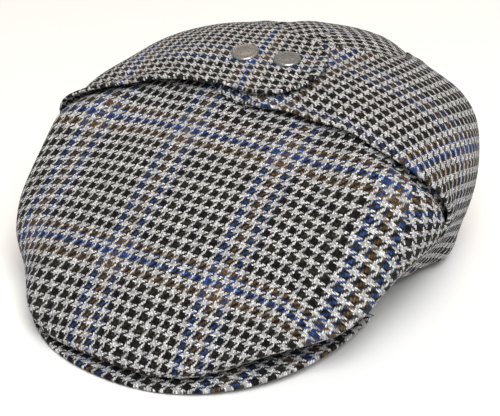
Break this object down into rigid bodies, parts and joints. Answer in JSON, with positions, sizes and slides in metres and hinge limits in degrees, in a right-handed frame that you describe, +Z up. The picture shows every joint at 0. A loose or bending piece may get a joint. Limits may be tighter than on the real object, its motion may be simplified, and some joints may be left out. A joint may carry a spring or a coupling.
{
  "type": "earflap flat cap",
  "caption": "Tweed flat cap for the head: puffed crown over a stiff front peak, with padded earflaps folded up over the top and snapped together.",
  "frame": {"origin": "middle of the cap's box, on the surface that it stands on", "axes": "+Z up, the peak points along -Y, the wearer's left is +X"},
  "size_m": [0.216, 0.2582, 0.1098],
  "materials": {
    "crown_tweed": "woven",
    "peak_tweed": "woven",
    "flap_tweed": "woven",
    "snap_metal": "satin"
  },
  "bodies": {
    "root": {"crown": "crown_tweed", "peak": "peak_tweed", "earflap_left": "flap_tweed", "earflap_right": "flap_tweed", "snap_cap_inner": "snap_metal", "snap_cap_outer": "snap_metal"}
  },
  "joints": []
}
